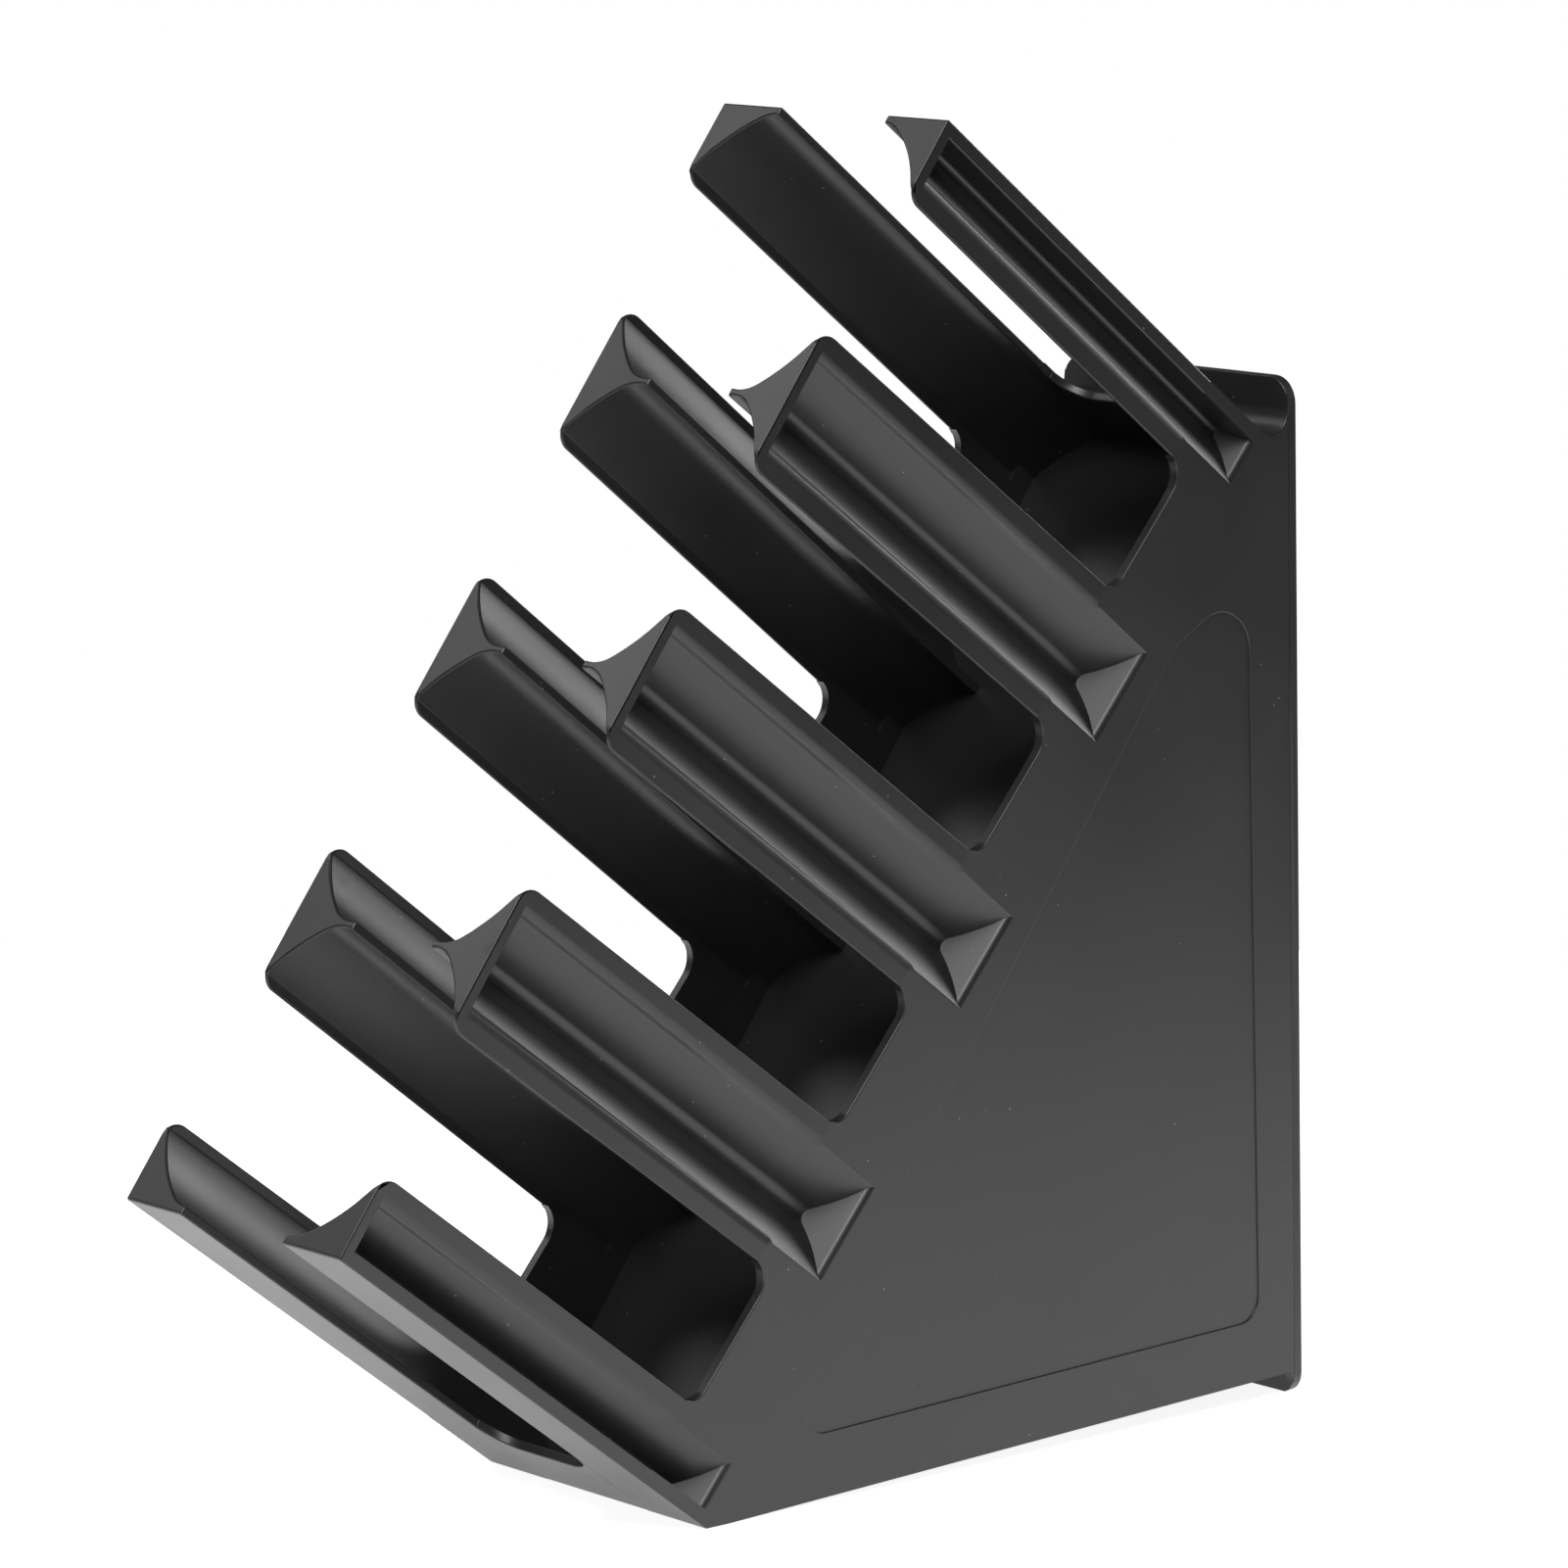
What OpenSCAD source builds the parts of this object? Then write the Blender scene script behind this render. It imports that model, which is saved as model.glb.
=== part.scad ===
// Four-tier inclined organiser for stacked cups and lids.
// Four parallel channels climb one above the other and slope down towards the back.
// Hollow arms with a closed front and a cusp on the inside stand on both sides of every
// channel, and the windows between the arms open each channel to the side. Each arm grows
// out of a root, which is level with the outside of the side panel.
// The rack stands on the front corner of its base and on the lip under its back panel.

/* [Body] */
// Overall width across the side panels
body_w = 108; // [104:1:114]
// Depth from the front tip of the lowest arm to the rear face, at the base line
body_depth = 428; // [410:1:450]
// Height of the front tip of the lowest arm above the base line
tip_height = 116; // [105:1:125]
// Slope of the channels below the horizontal, in degrees
channel_slope = 38; // [34:1:42]
// How far the back panel leans forward from a right angle to the base line, in degrees
back_tilt = 1; // [0:0.25:2]

/* [Channels] */
// Distance from one channel's axis to the next, along the front
tier_pitch = 103; // [100:1:108]
// Radius of the channel's round wall
channel_r = 60; // [58:0.5:62]
// Height of the open window between two arms
window_h = 51; // [46:1:54]
// Distance from the front of the arms to the end stops
channel_len = 197; // [190:1:205]

/* [Arms] */
// Length of the free part of an arm, from its front to the end of the windows
arm_len = 161; // [150:1:168]
// Height of the top arm and of the bottom arm
end_arm_h = 30; // [28:1:34]
// Half of the gap between the left and the right cusp
cusp_x = 25.4; // [23:0.1:28]
// How far the tips of the middle arms lean inwards
toe_in = 6; // [0:0.5:8]
// Thickness of an arm's curved wall
arm_wall = 3.4; // [3:0.1:4]
// Thickness of the flat plate on the outside of the top and bottom arms
arm_plate = 5; // [4:0.5:6]
// Thickness of the wall that closes the front of an arm
front_t = 4.3; // [3:0.1:6]
// Radius of an arm's front corners, seen from the side
arm_corner_r = 6.5; // [4:0.5:9]

/* [Panels] */
// Thickness of the side panels
side_t = 3.5; // [3:0.1:4]
// Thickness of the back panel
back_t = 4.2; // [3:0.1:6]
// Height of the back panel above the base line
back_top = 350; // [346:1:356]
// How far the back panel's lip reaches below the base line
lip_drop = 9; // [6:0.5:11]
// Thickness of the end stops, the top cover and the front skirt
web_t = 3.2; // [3:0.1:4]
// Depth of the shallow triangular recess in each side panel
recess_depth = 0.5; // [0.3:0.1:0.8]

/* [Hidden] */
$fn = 96;
tiers = 4;
half_w = body_w / 2;
inner_x = half_w - side_t;           // inner face of a side panel
rim_x = half_w - 1.4;                // the channel's wall is flat beyond this, so that rims stay blunt
arm_h = tier_pitch - window_h;
front_len = 2 * end_arm_h + tiers * window_h + (tiers - 1) * arm_h;
outer_r = channel_r + arm_wall;
end_axis = end_arm_h + window_h / 2; // the lowest channel's axis above the bottom of the front
arm_overlap = 3;                     // extra length before an arm is trimmed to its root

// Cusps: the round wall runs into a thin spike through a small blend arc
blend_r = 14;
mid_touch_x = 37;                    // where the blend arc leaves the round wall
end_touch_x = 33;

// Windows: the closed end leans back a little, so its low and high corners differ
end_tilt = 4;
window_low_r = 6.5;
window_high_r = 9;
corner_trim = 1.5;                   // pieces start this far into a round corner, short of a knife edge
root_start = arm_len - window_low_r;
toe_angle = asin(toe_in / root_start);

// Valleys on the outside of the arms
valley_end = arm_len + 22;           // where the sloping end wall of a valley meets the outside
valley_end_slope = 26;
valley_edge_r = 3;                   // round edge between the end wall and the outside
root_end = valley_end + 5;           // the root is as wide as the body up to here
mid_floor_r = 4;
end_floor_r = 2;

// Gaps between the left and the right cusps, at the top and at the bottom
top_gap_end = 171;
bottom_gap_end = 161;
gap_corner_r = 13;

// Fillets between the back panel and the body, at the top and at the lip
notch_r = 8;
lip_fillet_r = 4;
// Corners of the back panel
lip_corner_r = 8;
top_corner_r = 9;
// The recess keeps these distances from the back, the base line and the front
recess_back = 22;
recess_length = 240;
recess_low = 22;
recess_high = 283;
recess_along = 196;

// Base line: z = 0, with y = 0 at the front corner of the base
base_axis = tip_height / sin(channel_slope);   // along the bottom of the front skirt
tip_y = -base_axis * cos(channel_slope);
back_y = tip_y + body_depth;
panel_y = back_y - back_t / cos(back_tilt); // front face of the back panel, at the base line
lip_y = panel_y + lip_drop * sin(back_tilt);
lip_z = -lip_drop * cos(back_tilt);

// The rack leans forward until the lip and the front corner touch the ground
ground_cut = 0.3;                    // both are cut flat by this much
lean = atan((-lip_z - ground_cut) / lip_y);
y_front = tip_y * cos(lean) - tip_height * sin(lean);
y_back = (lip_y + back_t * cos(back_tilt)) * cos(lean) - (lip_z + back_t * sin(back_tilt)) * sin(lean);
origin_y = (y_front + y_back) / 2;
big = 600;

sides = ["left", "right"];
arm_count = tiers + 1;

// Height of a channel's axis and of an arm's middle along the front; 1 is the top one
function channel_at(j) = end_axis + (tiers - j) * tier_pitch;
function arm_at(k) = channel_at(k) + tier_pitch / 2;
// Bottom and top of arm k
function arm_low(k) = k == arm_count ? 0 : arm_at(k) - arm_h / 2;
function arm_high(k) = k == 1 ? front_len : arm_at(k) + arm_h / 2;
// A place along and up the channels, as [y, z] from the base's front corner
function place(along, up) = [
    tip_y + along * cos(channel_slope) + up * sin(channel_slope),
    tip_height - along * sin(channel_slope) + up * cos(channel_slope)
];
// Height of the round wall above or below the channel's axis
function wall_at(x) = sqrt(channel_r * channel_r - x * x);

function unit(v) = v / norm(v);
function corner_arc(before, at, after, r, steps = 8) =
    r == 0 ? [at] :
    let (
        u = unit(before - at),
        w = unit(after - at),
        half = acos(u * w) / 2,
        centre = at + unit(u + w) * r / sin(half),
        from = at + u * r / tan(half) - centre,
        to = at + w * r / tan(half) - centre,
        a0 = atan2(from.y, from.x),
        sweep = (atan2(to.y, to.x) - a0 + 540) % 360 - 180
    )
    [for (i = [0:steps]) centre + r * [cos(a0 + sweep * i / steps), sin(a0 + sweep * i / steps)]];
// An outline given as [point, corner radius] pairs
function rounded(pts) =
    let (n = len(pts))
    [for (i = [0:n - 1])
        each corner_arc(pts[(i + n - 1) % n][0], pts[i][0], pts[(i + 1) % n][0], pts[i][1])];

// Puts everything into the standing position, with the origin under the middle
module standing() {
    translate([0, -origin_y, -ground_cut]) rotate([lean, 0, 0]) children();
}
module above_ground() {
    intersection() {
        standing() children();
        translate([-big / 2, -big / 2, 0]) cube(big);
    }
}
// X across, Y along the channels towards the back, Z up the front
module channel_frame() {
    translate([0, tip_y, tip_height]) rotate([-channel_slope, 0, 0]) children();
}
module above_base() {
    intersection() {
        children();
        translate([-big / 2, -big / 2, 0]) cube(big);
    }
}
// An [x, z] outline pulled along Y, and a [y, z] outline pulled across X
module pull_back(y0, y1) {
    translate([0, y1, 0]) rotate([90, 0, 0]) linear_extrude(y1 - y0) children();
}
module pull_across(x0, x1) {
    translate([x0, 0, 0]) rotate([90, 0, 90]) linear_extrude(x1 - x0) children();
}
// Children are made for the right side, at +X
module on_side(side) {
    if (side == "right") children();
    else mirror([1, 0, 0]) children();
}

// Section of a channel, cut flat at the rims
module bore() {
    intersection() {
        circle(channel_r, $fn = 180);
        square([2 * rim_x, 2 * channel_r], center = true);
    }
}
// A blend arc inside the channel, below its axis
module blend_arc(touch_x) {
    reach = (channel_r - blend_r) / channel_r;
    translate([touch_x * reach, -wall_at(touch_x) * reach]) circle(blend_r);
}
// Middle arm: a triangle with two hollow sides, and its spike
module mid_outline() {
    touch = tier_pitch / 2 - wall_at(mid_touch_x);
    difference() {
        translate([cusp_x, -arm_h / 2]) square([half_w - cusp_x, arm_h]);
        for (m = [0, 1]) mirror([0, m]) translate([0, tier_pitch / 2]) bore();
    }
    difference() {
        translate([cusp_x, -touch]) square([mid_touch_x - cusp_x, 2 * touch]);
        for (m = [0, 1]) mirror([0, m]) translate([0, tier_pitch / 2]) blend_arc(mid_touch_x);
    }
}
// Bottom arm: flat below, hollow above
module end_outline() {
    touch = end_axis - wall_at(end_touch_x);
    difference() {
        translate([cusp_x, 0]) square([half_w - cusp_x, end_arm_h]);
        translate([0, end_axis]) bore();
    }
    difference() {
        translate([cusp_x, 0]) square([end_touch_x - cusp_x, touch]);
        translate([0, end_axis]) blend_arc(end_touch_x);
    }
}
// Valleys: what is left between the backs of the curved walls, with a round floor
module mid_valley() {
    axis = tier_pitch / 2;
    floor_x = sqrt(pow(outer_r + mid_floor_r, 2) - axis * axis);
    touch = [floor_x * outer_r / (outer_r + mid_floor_r), axis * mid_floor_r / (outer_r + mid_floor_r)];
    difference() {
        polygon([[touch.x, -touch.y], [half_w + 1, -arm_h / 2], [half_w + 1, arm_h / 2], touch]);
        for (m = [-1, 1]) translate([0, m * axis]) circle(outer_r, $fn = 180);
    }
    translate([floor_x, 0]) circle(mid_floor_r);
}
module end_valley() {
    axis = end_axis - arm_plate - end_floor_r;
    floor_x = sqrt(pow(outer_r + end_floor_r, 2) - axis * axis);
    slant = outer_r / (outer_r + end_floor_r);
    difference() {
        polygon([
            [floor_x * slant, end_axis - axis * slant],
            [floor_x, arm_plate],
            [half_w + 1, arm_plate],
            [half_w + 1, end_arm_h]
        ]);
        translate([0, end_axis]) circle(outer_r, $fn = 180);
    }
    translate([floor_x, arm_plate + end_floor_r]) circle(end_floor_r);
}
// Outline or valley of arm k, at its own height; the top arm is the bottom one upside down
module arm_outline(k) {
    if (k == 1) translate([0, front_len]) mirror([0, 1]) end_outline();
    else if (k == arm_count) end_outline();
    else translate([0, arm_at(k)]) mid_outline();
}
module arm_valley(k) {
    if (k == 1) translate([0, front_len]) mirror([0, 1]) end_valley();
    else if (k == arm_count) end_valley();
    else translate([0, arm_at(k)]) mid_valley();
}
// Side view of arm k: round front corners, except at the very top and bottom
module arm_side_view(k) {
    length = root_start + arm_overlap;
    polygon(rounded([
        [[0, arm_low(k)], k == arm_count ? 0 : arm_corner_r],
        [[length, arm_low(k)], 0],
        [[length, arm_high(k)], 0],
        [[0, arm_high(k)], k == 1 ? 0 : arm_corner_r]
    ]));
}
// Middle arms turn about the place where they leave the side panel
module toed(k) {
    angle = k == 1 || k == arm_count ? 0 : -toe_angle;
    translate([half_w, root_start, 0]) rotate([0, 0, angle]) translate([-half_w, -root_start, 0]) children();
}
module arm(side, k) {
    color("#232325") above_ground() on_side(side) channel_frame() difference() {
        toed(k) intersection() {
            difference() {
                pull_back(0, root_start + arm_overlap) arm_outline(k);
                pull_back(front_t, root_start + 2 * arm_overlap) arm_valley(k);
            }
            pull_across(0, half_w + 1) arm_side_view(k);
        }
        translate([-1, root_start, -1]) cube(big);
    }
}

// Room for a valley up to its end wall, which slopes outwards and turns round into the outside
module valley_room(k) {
    deep = [0, valley_end - half_w * tan(valley_end_slope)];
    side = half_w + 0.02;            // the round edge crosses the outside at a slight angle
    edge = corner_arc(deep, [side, valley_end], [side, valley_end + 20], valley_edge_r);
    front = root_start - 10;
    translate([0, valley_end, (arm_low(k) + arm_high(k)) / 2]) rotate([-end_tilt, 0, 0])
        translate([0, -valley_end, -arm_h]) linear_extrude(2 * arm_h)
            polygon([[0, front], deep, each edge, [half_w + 2, edge[8].y], [half_w + 2, front]]);
}
// An arm's root runs back to the end stop, behind the side panel
module arm_root(side, k) {
    color("#29292b") above_ground() above_base() on_side(side) channel_frame() difference() {
        pull_back(root_start, channel_len) arm_outline(k);
        intersection() {
            valley_room(k);
            pull_back(root_start - 1, root_end + 1) arm_valley(k);
        }
        pull_back(root_end, channel_len + 1) arm_valley(k);
        translate([inner_x, root_end, -1]) cube(big);
    }
}

// Where a line along the channels, at a height up the front, meets the back panel
function panel_at(up) = place(
    (panel_y - tip_y - up * sin(channel_slope) - (tip_height + up * cos(channel_slope)) * tan(back_tilt))
    / (cos(channel_slope) - sin(channel_slope) * tan(back_tilt)),
    up
);
// Concave fillets: where the top of the body meets the back panel, and above the lip
notch = panel_at(front_len);
up_panel = [-sin(back_tilt), cos(back_tilt)];
up_slope = [-cos(channel_slope), sin(channel_slope)];
notch_fillet = corner_arc(notch + up_panel, notch, notch + up_slope, notch_r);
lip_fillet = corner_arc([panel_y - 1, 0], [panel_y, 0], [panel_y, 0] - up_panel, lip_fillet_r);
// Side view of a window, with round corners at its closed end
module window_outline() {
    shift = window_h / 2 * tan(end_tilt);
    polygon(rounded([
        [[0, -window_h / 2], 0],
        [[arm_len - shift, -window_h / 2], window_low_r],
        [[arm_len + shift, window_h / 2], window_high_r],
        [[0, window_h / 2], 0]
    ]));
}
// Side view of a side panel: the closed ends of the windows, and room for the arms' roots
module side_outline() {
    difference() {
        polygon([
            place(root_start, 0), [0, 0], each lip_fillet, each notch_fillet,
            place(root_start, front_len)
        ]);
        translate(place(0, 0)) rotate(-channel_slope) {
            for (j = [1:tiers]) translate([0, channel_at(j)]) window_outline();
            for (k = [1:arm_count]) {
                low = k == arm_count ? -1 : arm_low(k);
                high = k == 1 ? front_len + 1 : arm_high(k);
                translate([0, low]) square([root_end, high - low]);
            }
        }
    }
}
module recess_outline() {
    polygon(rounded([
        [[back_y - recess_length, recess_low], 8],
        [[back_y - recess_back, recess_low], 9],
        [[back_y - recess_back - 2 - recess_high * tan(back_tilt), recess_high], 15],
        [place(recess_along, 340), 12],
        [place(recess_along, 82), 25]
    ]));
}
module side_panel(side) {
    color("#2f2f32") above_ground() on_side(side) difference() {
        pull_across(inner_x, half_w) side_outline();
        pull_across(half_w - recess_depth, half_w + 1) recess_outline();
    }
}

module back_panel() {
    color("#28282a") above_ground() translate([0, panel_y, 0]) rotate([back_tilt, 0, 0])
        pull_back(0, back_t) polygon(rounded([
            [[-half_w, -lip_drop], lip_corner_r],
            [[half_w, -lip_drop], lip_corner_r],
            [[half_w, back_top], top_corner_r],
            [[-half_w, back_top], top_corner_r]
        ]));
}

// Closes the back end of channel j
module end_stop(j) {
    low = j == tiers ? 0 : channel_at(j) - tier_pitch / 2;
    high = j == 1 ? front_len - web_t : channel_at(j) + tier_pitch / 2;
    color("#1f1f21") standing() above_base() channel_frame()
        translate([-inner_x, channel_len, low]) cube([2 * inner_x, web_t, high - low]);
}

// Outline of the gap between the cusps: round corners at its closed end
module gap_outline(gap_end) {
    polygon(rounded([
        [[-cusp_x, 0], 0],
        [[cusp_x, 0], 0],
        [[cusp_x, gap_end], gap_corner_r],
        [[-cusp_x, gap_end], gap_corner_r]
    ]));
}
// Covers the top channel between the top arms and back to the back panel
module top_cover() {
    front_edge = top_gap_end - gap_corner_r + corner_trim;
    color("#262628") standing() {
        channel_frame() difference() {
            translate([-cusp_x, front_edge, front_len - web_t])
                cube([2 * cusp_x, channel_len - front_edge, web_t]);
            translate([0, 0, front_len - web_t - 1]) linear_extrude(web_t + 2) gap_outline(top_gap_end);
        }
        pull_across(-inner_x, inner_x) polygon([
            place(channel_len, front_len - web_t),
            panel_at(front_len - web_t),
            each notch_fillet,
            place(channel_len, front_len)
        ]);
    }
}
// Closes the bottom channel between the bottom arms, down to the base line
module front_skirt() {
    front_edge = bottom_gap_end - gap_corner_r + corner_trim;
    color("#262628") above_ground() difference() {
        pull_across(-cusp_x, cusp_x) polygon([
            place(front_edge, 0),
            [0, 0],
            [place(channel_len, 0).x + web_t, 0],
            [place(channel_len, 0).x, web_t],
            [place(base_axis, web_t).x, web_t],
            place(front_edge, web_t)
        ]);
        channel_frame() translate([0, 0, -1]) linear_extrude(web_t + 2) gap_outline(bottom_gap_end);
    }
}

for (s = sides) side_panel(s);
back_panel();
top_cover();
front_skirt();
for (j = [1:tiers]) end_stop(j);
for (s = sides) for (k = [1:arm_count]) {
    arm(s, k);
    arm_root(s, k);
}
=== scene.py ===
"""Inclined cup and lid organiser in black satin plastic, on a pale studio floor."""
import math

import bmesh
import bpy
from mathutils import Matrix, Vector


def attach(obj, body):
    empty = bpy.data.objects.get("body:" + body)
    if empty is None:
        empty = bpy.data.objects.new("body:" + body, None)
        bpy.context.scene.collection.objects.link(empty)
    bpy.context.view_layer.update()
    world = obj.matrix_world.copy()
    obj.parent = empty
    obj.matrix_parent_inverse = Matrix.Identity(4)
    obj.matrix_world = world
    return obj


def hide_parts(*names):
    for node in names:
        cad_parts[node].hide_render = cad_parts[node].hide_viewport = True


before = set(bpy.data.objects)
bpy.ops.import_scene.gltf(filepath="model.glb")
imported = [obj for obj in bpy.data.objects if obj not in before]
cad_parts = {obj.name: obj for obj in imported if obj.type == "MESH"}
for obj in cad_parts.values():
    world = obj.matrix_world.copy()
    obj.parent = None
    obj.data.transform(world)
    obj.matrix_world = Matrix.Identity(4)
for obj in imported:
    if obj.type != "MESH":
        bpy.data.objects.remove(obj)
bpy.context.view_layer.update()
scene = bpy.context.scene

MM = 0.001


# ---------------------------------------------------------------- the CAD model's own planes
# The channels slope down to the back. These planes tell which edges lie between two pieces:
# they stay sharp, so that no groove shows there.
CHANNEL_SLOPE = math.radians(38)
TIP_HEIGHT = 116 * MM
BODY_DEPTH = 428 * MM
BACK_T = 4.2 * MM
BACK_TILT = math.radians(1)
LIP_DROP = 9 * MM
GROUND_CUT = 0.3 * MM
ROOT_START = 154.5 * MM
ROOT_END = 188 * MM
CHANNEL_LEN = 197 * MM
WEB_T = 3.2 * MM
HALF_W = 54 * MM
INNER_X = 50.5 * MM
CUSP_X = 25.4 * MM
RECESS_DEPTH = 0.5 * MM
TOE = math.asin(6 / 154.5)
TIERS = 4
TIER_PITCH = 103 * MM
WINDOW_H = 51 * MM
END_ARM_H = 30 * MM
FRONT_LEN = 2 * END_ARM_H + TIERS * WINDOW_H + (TIERS - 1) * (TIER_PITCH - WINDOW_H)

TIP_Y = -TIP_HEIGHT / math.tan(CHANNEL_SLOPE)
PANEL_Y = TIP_Y + BODY_DEPTH - BACK_T / math.cos(BACK_TILT)
LIP_Y = PANEL_Y + LIP_DROP * math.sin(BACK_TILT)
LIP_Z = -LIP_DROP * math.cos(BACK_TILT)
LEAN = math.atan((-LIP_Z - GROUND_CUT) / LIP_Y)
REAR_Y = LIP_Y + BACK_T * math.cos(BACK_TILT)
REAR_Z = LIP_Z + BACK_T * math.sin(BACK_TILT)
ORIGIN_Y = (
    TIP_Y * math.cos(LEAN) - TIP_HEIGHT * math.sin(LEAN)
    + REAR_Y * math.cos(LEAN) - REAR_Z * math.sin(LEAN)
) / 2
STANDING = Matrix.Translation((0, -ORIGIN_Y, -GROUND_CUT)) @ Matrix.Rotation(LEAN, 4, "X")
CHANNELS = (
    STANDING
    @ Matrix.Translation((0, TIP_Y, TIP_HEIGHT))
    @ Matrix.Rotation(-CHANNEL_SLOPE, 4, "X")
)
BACK = STANDING @ Matrix.Translation((0, PANEL_Y, 0)) @ Matrix.Rotation(BACK_TILT, 4, "X")


def arm_span(number):
    """Bottom and top of an arm along the front; arm 1 is the top one."""
    middle = END_ARM_H + WINDOW_H / 2 + (TIERS - number) * TIER_PITCH + TIER_PITCH / 2
    half = (TIER_PITCH - WINDOW_H) / 2
    low = 0 if number == TIERS + 1 else middle - half
    high = FRONT_LEN if number == 1 else middle + half
    return low, high


def plane(frame_matrix, axis, distance):
    """The plane at a distance along one axis of a frame, as (normal, offset) in the row frame."""
    direction = Vector((0, 0, 0))
    direction["xyz".index(axis)] = 1
    normal = frame_matrix.to_3x3() @ direction
    return normal, normal.dot(frame_matrix @ (direction * distance))


def toed(name):
    """The frame of an arm: a middle arm is turned about the place where it leaves its panel."""
    side, number = name.split("_")[-2:]
    if number not in "234":
        return CHANNELS
    sign = 1 if side == "right" else -1
    pivot = Vector((sign * HALF_W, ROOT_START, 0))
    return (
        CHANNELS
        @ Matrix.Translation(pivot)
        @ Matrix.Rotation(-sign * TOE, 4, "Z")
        @ Matrix.Translation(-pivot)
    )


def across(*distances):
    """The upright planes at these distances from the middle, on both sides."""
    return [plane(CHANNELS, "x", s * d) for d in distances for s in (-1, 1)]


def root_seams():
    """The tops and bottoms of the roots where a side panel goes on beside them."""
    heights = [h for number in range(1, TIERS + 2) for h in arm_span(number)]
    return [plane(CHANNELS, "z", h) for h in heights if 0 < h < FRONT_LEN]


def seams(name):
    """Where a node meets its neighbours: an edge is on a seam if it lies on all planes of a set."""
    root_start, root_end, stop, stop_back = (
        plane(CHANNELS, "y", d) for d in (ROOT_START, ROOT_END, CHANNEL_LEN, CHANNEL_LEN + WEB_T)
    )
    panel = plane(BACK, "y", 0)
    top = plane(CHANNELS, "z", FRONT_LEN)
    if name.startswith("arm_root"):
        heights = [plane(CHANNELS, "z", h) for h in arm_span(int(name[-1]))]
        return [[p] for p in [root_start, root_end, stop] + heights + across(INNER_X)]
    if name.startswith("arm"):
        return [[root_start]]
    if name.startswith("side_panel"):
        singles = [root_start, root_end, panel] + root_seams()
        return [[p] for p in singles] + [[top, x] for x in across(INNER_X)]
    if name == "back_panel":
        return [[panel, x] for x in across(HALF_W)]
    return [[p] for p in [stop, stop_back, panel] + across(INNER_X, CUSP_X)]


# ---------------------------------------------------------------- rounded edges
# Widths of the roundings: the soft rims of the valleys, the arms' front walls, the recess in
# the side panels, and every other free edge.
RIM_R = 2.2 * MM
FRONT_R = 0.9 * MM
RECESS_R = 0.4 * MM
PLAIN_R = 0.55 * MM
# A rim turns by less than RIM_ANGLE, an edge by SHARP or more, and a flat face by less than FLAT.
RIM_ANGLE = math.radians(40)
SHARP = math.radians(28)
FLAT = math.radians(0.4)
# How near a point is to a plane that it lies on, and to a seam that its rounding would cross.
ON_PLANE = 0.02 * MM
NEAR_SEAM = 1.3 * PLAIN_R
BASE_ZONE = 4 * MM
SAME_POINT = 0.004 * MM


def on_all(edge, planes):
    """True if both ends of an edge lie on every one of these planes."""
    return all(
        abs(normal.dot(vert.co) - offset) < ON_PLANE
        for normal, offset in planes
        for vert in edge.verts
    )


def runs_out(edge):
    """True if a side panel's edge is at its base line or lip, or runs into the seam with a root."""
    up, base = plane(STANDING, "z", 0)
    if any(up.dot(vert.co) - base < BASE_ZONE for vert in edge.verts):
        return True
    return any(
        abs(normal.dot(vert.co) - offset) < NEAR_SEAM
        for normal, offset in root_seams() + [plane(CHANNELS, "y", ROOT_END)]
        for vert in edge.verts
    )


def in_recess(edge):
    """True if a side panel's edge belongs to the rim of its shallow recess."""
    return any(
        HALF_W - 2 * RECESS_DEPTH < min(abs(v.co.x) for v in face.verts) < HALF_W - ON_PLANE
        for face in edge.link_faces
    )


def rounded_copy(name, source):
    """A copy of a CAD node with chosen free edges rounded, and an arm's or root's flat faces made
    whole.
    """
    is_root = name.startswith("arm_root")
    is_arm = name.startswith("arm_") and not is_root
    bm = bmesh.new()
    bm.from_mesh(source.data)
    bmesh.ops.remove_doubles(bm, verts=bm.verts, dist=SAME_POINT)
    if is_arm or is_root:
        bmesh.ops.dissolve_limit(
            bm, angle_limit=FLAT, use_dissolve_boundaries=False, verts=bm.verts, edges=bm.edges
        )
    widths = bm.edges.layers.float.new("bevel_weight_edge")
    kept_sharp = seams(name)
    outside = [[p] for p in across(HALF_W)]
    if is_arm:
        outside = [[plane(toed(name), "x", HALF_W * (1 if "right" in name else -1))]]
        front = [plane(toed(name), "y", 0)]
    for face in bm.faces:
        face.smooth = True
    for edge in bm.edges:
        if len(edge.link_faces) != 2:
            continue
        angle = edge.calc_face_angle()
        if angle < SHARP:
            continue
        if any(on_all(edge, planes) for planes in kept_sharp) or not edge.is_convex:
            edge.smooth = False
        elif (is_arm or is_root) and angle < RIM_ANGLE:
            if any(on_all(edge, planes) for planes in outside):
                edge[widths] = 1.0
        elif is_arm and on_all(edge, front):
            edge[widths] = FRONT_R / RIM_R
        elif is_root:
            edge.smooth = False
        elif not name.startswith("side_panel"):
            edge[widths] = PLAIN_R / RIM_R
        elif any(on_all(edge, planes) for planes in outside) and not runs_out(edge):
            edge[widths] = (RECESS_R if in_recess(edge) else PLAIN_R) / RIM_R
        else:
            edge.smooth = False
    mesh = bpy.data.meshes.new(name + "_moulded")
    bm.to_mesh(mesh)
    bm.free()
    obj = bpy.data.objects.new(name + "_moulded", mesh)
    scene.collection.objects.link(obj)
    bevel = obj.modifiers.new("bevel", "BEVEL")
    bevel.limit_method = "WEIGHT"
    bevel.width = RIM_R
    bevel.segments = 3
    bevel.use_clamp_overlap = False
    bevel.miter_outer = "MITER_ARC"
    bevel.face_strength_mode = "FSTR_AFFECTED"
    normals = obj.modifiers.new("normals", "WEIGHTED_NORMAL")
    normals.keep_sharp = True
    normals.use_face_influence = True
    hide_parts(name)
    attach(obj, "root")
    return obj


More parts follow.
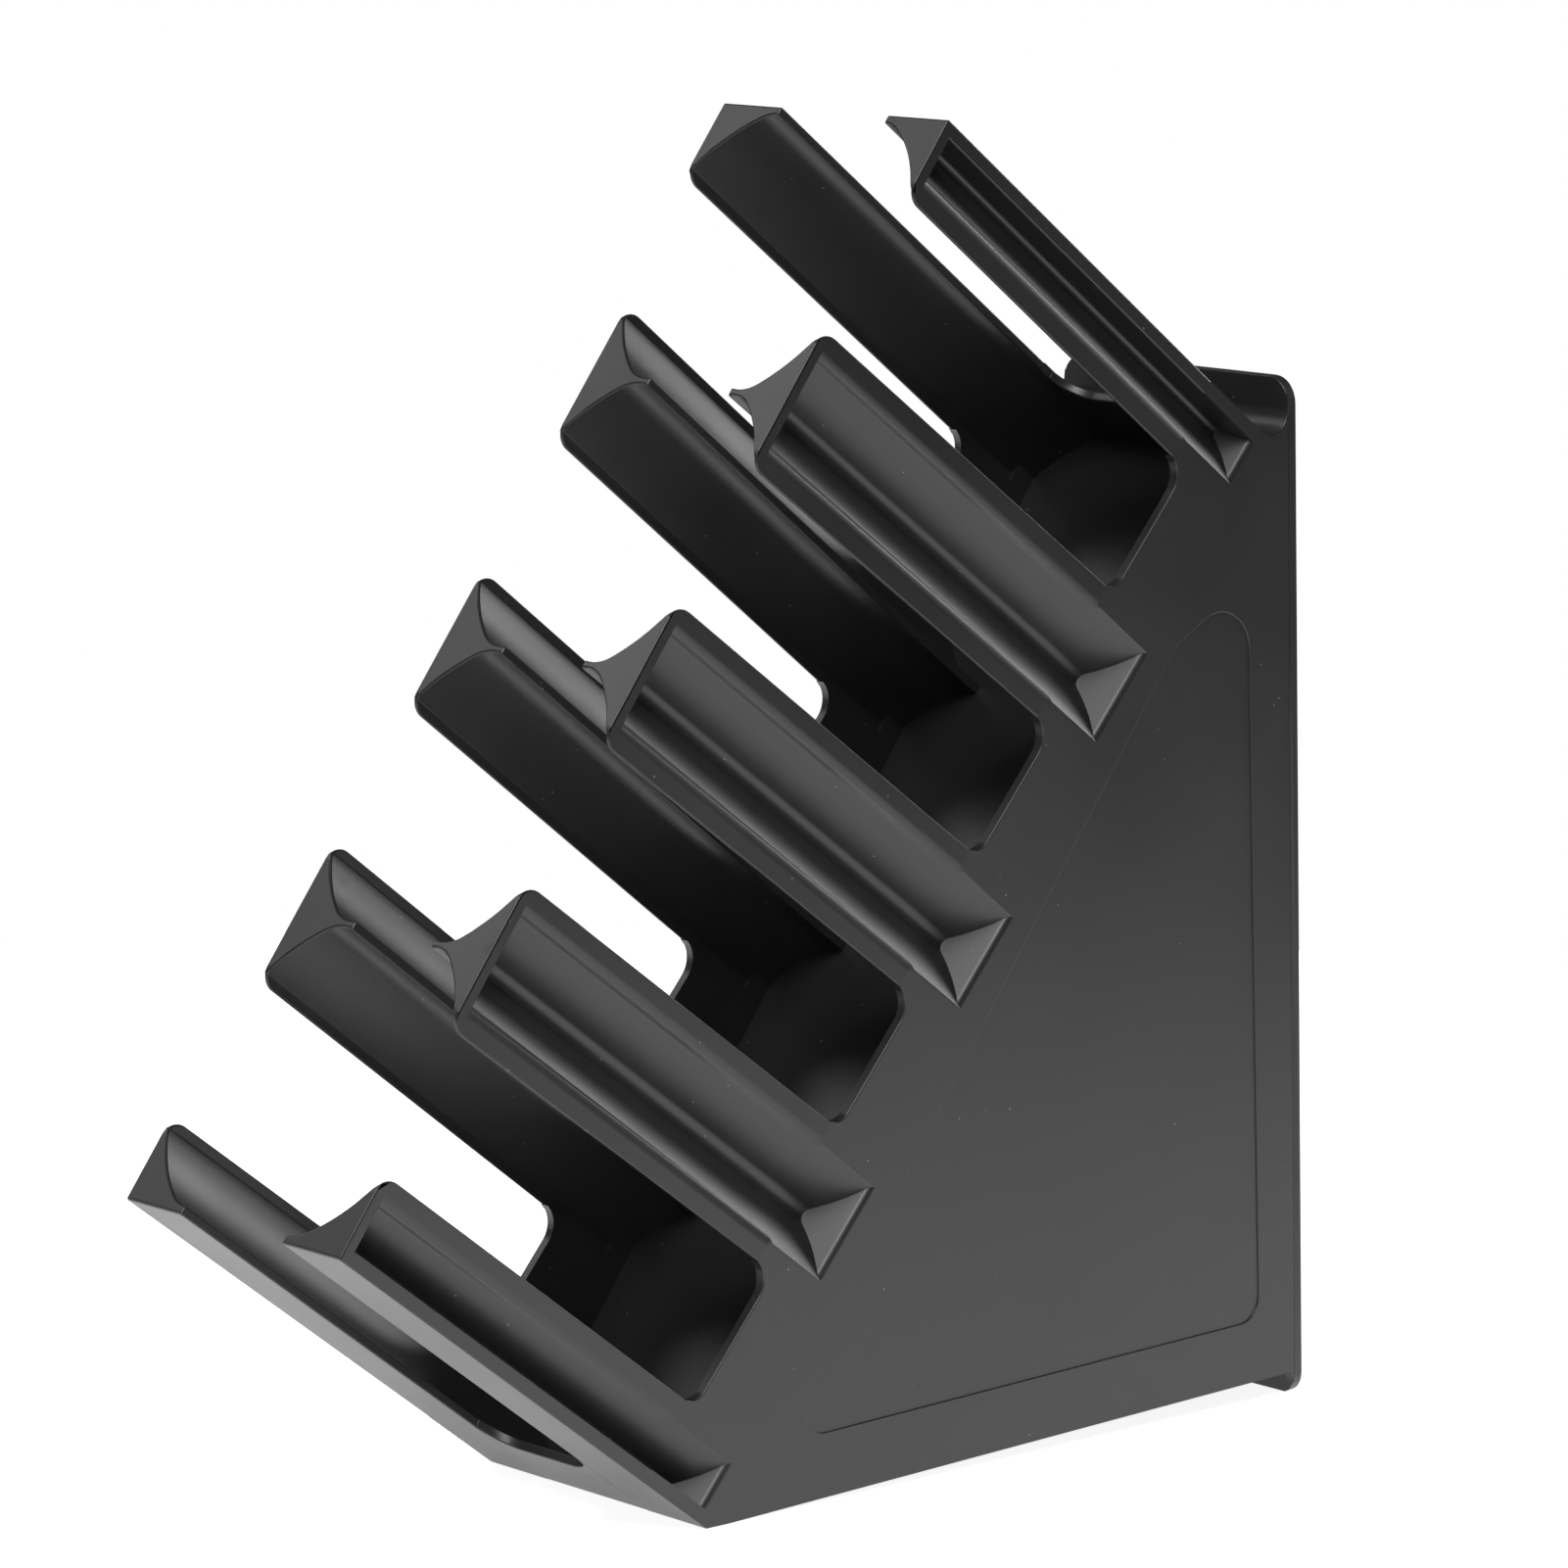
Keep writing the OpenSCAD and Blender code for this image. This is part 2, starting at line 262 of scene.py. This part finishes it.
# ---------------------------------------------------------------- material
def black_plastic():
    """Satin moulded plastic: fine grain, slow waves in the surface, cloudy gloss, a little dust."""
    mat = bpy.data.materials.new("black_plastic")
    mat.use_nodes = True
    tree = mat.node_tree
    node, link = tree.nodes.new, tree.links.new
    shader = tree.nodes["Principled BSDF"]
    place = node("ShaderNodeTexCoord")

    def noise(scale, detail, rough=0.5):
        n = node("ShaderNodeTexNoise")
        n.inputs["Scale"].default_value = scale
        n.inputs["Detail"].default_value = detail
        n.inputs["Roughness"].default_value = rough
        link(place.outputs["Object"], n.inputs["Vector"])
        return n.outputs["Fac"]

    def spread(value, low, high, to_low, to_high):
        n = node("ShaderNodeMapRange")
        link(value, n.inputs["Value"])
        n.inputs["From Min"].default_value = low
        n.inputs["From Max"].default_value = high
        n.inputs["To Min"].default_value = to_low
        n.inputs["To Max"].default_value = to_high
        return n.outputs["Result"]

    def bump(height, strength, distance, before=None):
        n = node("ShaderNodeBump")
        n.inputs["Strength"].default_value = strength
        n.inputs["Distance"].default_value = distance
        link(height, n.inputs["Height"])
        if before is not None:
            link(before, n.inputs["Normal"])
        return n.outputs["Normal"]

    def mix(factor, low, high):
        n = node("ShaderNodeMix")
        n.data_type = "RGBA"
        link(factor, n.inputs["Factor"])
        for value, socket in ((low, n.inputs["A"]), (high, n.inputs["B"])):
            if isinstance(value, tuple):
                socket.default_value = value
            else:
                link(value, socket)
        return n.outputs["Result"]

    cloudy = noise(14, 3)
    waves = noise(11, 1)
    sinks = noise(38, 1)
    peel = noise(420, 2)
    grain = noise(2400, 2)
    scuffed = noise(70, 4, 0.7)

    dust = node("ShaderNodeTexVoronoi")
    dust.inputs["Scale"].default_value = 105
    link(place.outputs["Object"], dust.inputs["Vector"])
    speck = spread(dust.outputs["Distance"], 0.024, 0.034, 1, 0)

    tint = mix(spread(cloudy, 0.3, 0.7, 0, 1), (0.010, 0.010, 0.0105, 1), (0.014, 0.014, 0.0148, 1))
    link(mix(speck, tint, (0.22, 0.22, 0.21, 1)), shader.inputs["Base Color"])
    gloss = spread(cloudy, 0.3, 0.7, 0.36, 0.42)
    rubbed = spread(scuffed, 0.62, 0.74, 0, 0.07)
    total = node("ShaderNodeMath")
    link(gloss, total.inputs[0])
    link(rubbed, total.inputs[1])
    link(total.outputs[0], shader.inputs["Roughness"])
    shader.inputs["IOR"].default_value = 1.52

    normal = bump(waves, 1.0, 0.5 * MM)
    normal = bump(sinks, 1.0, 0.05 * MM, normal)
    normal = bump(peel, 0.3, 0.03 * MM, normal)
    normal = bump(grain, 0.25, 0.02 * MM, normal)
    link(normal, shader.inputs["Normal"])
    return mat


plastic = black_plastic()
for name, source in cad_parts.items():
    if name.startswith("end_stop"):
        source.data.materials.clear()
        source.data.materials.append(plastic)
    else:
        rounded_copy(name, source).data.materials.append(plastic)


# ---------------------------------------------------------------- floor, light and camera
FLOOR_RADIUS = 1.0
FLOOR_GAP = 0.3 * MM
FLOOR_GLOW = 0.9
AMBIENT = 0.11
MIDDLE = (0, 0, 0.2)
CAMERA_PLACE = (1.5800, -1.4374, 0.5688)
CAMERA_TURN = (47.424, 9.012, 0.878)
CAMERA_LENS = 150.86


def floor():
    """A round white floor that glows a little, so that it runs into the white background."""
    bm = bmesh.new()
    bmesh.ops.create_circle(bm, cap_ends=True, segments=96, radius=FLOOR_RADIUS)
    mesh = bpy.data.meshes.new("floor")
    bm.to_mesh(mesh)
    bm.free()
    obj = bpy.data.objects.new("floor", mesh)
    obj.location.z = -FLOOR_GAP
    scene.collection.objects.link(obj)
    mat = bpy.data.materials.new("pale_floor")
    mat.use_nodes = True
    shader = mat.node_tree.nodes["Principled BSDF"]
    shader.inputs["Base Color"].default_value = (0.9, 0.9, 0.9, 1)
    shader.inputs["Roughness"].default_value = 0.7
    shader.inputs["Emission Color"].default_value = (1, 1, 1, 1)
    shader.inputs["Emission Strength"].default_value = FLOOR_GLOW
    mesh.materials.append(mat)


def softbox(name, place, size, power):
    """A soft rectangular lamp aimed at the middle of the object."""
    data = bpy.data.lights.new(name, "AREA")
    data.shape = "RECTANGLE"
    data.size, data.size_y = size
    data.energy = power
    obj = bpy.data.objects.new(name, data)
    obj.location = place
    obj.rotation_euler = (Vector(MIDDLE) - Vector(place)).to_track_quat("-Z", "Y").to_euler()
    scene.collection.objects.link(obj)


def camera():
    """The camera's place, its azimuth, elevation and roll, and its long lens."""
    azimuth, elevation, roll = (math.radians(angle) for angle in CAMERA_TURN)
    forward = Vector((
        -math.sin(azimuth) * math.cos(elevation),
        math.cos(azimuth) * math.cos(elevation),
        -math.sin(elevation),
    ))
    right = forward.cross(Vector((0, 0, 1))).normalized()
    up = right.cross(forward)
    turned = right * math.cos(roll) + up * math.sin(roll)
    data = bpy.data.cameras.new("camera")
    data.sensor_width = 36
    data.lens = CAMERA_LENS
    data.clip_start, data.clip_end = 0.05, 50
    obj = bpy.data.objects.new("camera", data)
    axes = Matrix((turned, turned.cross(forward), -forward)).transposed()
    obj.matrix_world = Matrix.Translation(CAMERA_PLACE) @ axes.to_4x4()
    scene.collection.objects.link(obj)
    scene.camera = obj


def studio():
    """White as the camera sees it, and dim as a light."""
    world = bpy.data.worlds.new("studio")
    scene.world = world
    world.use_nodes = True
    tree = world.node_tree
    path = tree.nodes.new("ShaderNodeLightPath")
    level = tree.nodes.new("ShaderNodeMapRange")
    level.inputs["To Min"].default_value = AMBIENT
    level.inputs["To Max"].default_value = 1.0
    tree.links.new(path.outputs["Is Camera Ray"], level.inputs["Value"])
    tree.links.new(level.outputs["Result"], tree.nodes["Background"].inputs["Strength"])
    tree.nodes["Background"].inputs["Color"].default_value = (1, 1, 1, 1)


floor()
camera()
softbox("key", (0.95, -1.25, 2.0), (1.4, 1.2), 54)
softbox("rear", (0.0, 2.6, 0.85), (1.3, 0.9), 32)
softbox("left", (-2.5, -0.65, 1.85), (1.3, 1.3), 14)
studio()

scene.view_settings.view_transform = "Standard"
scene.view_settings.look = "None"
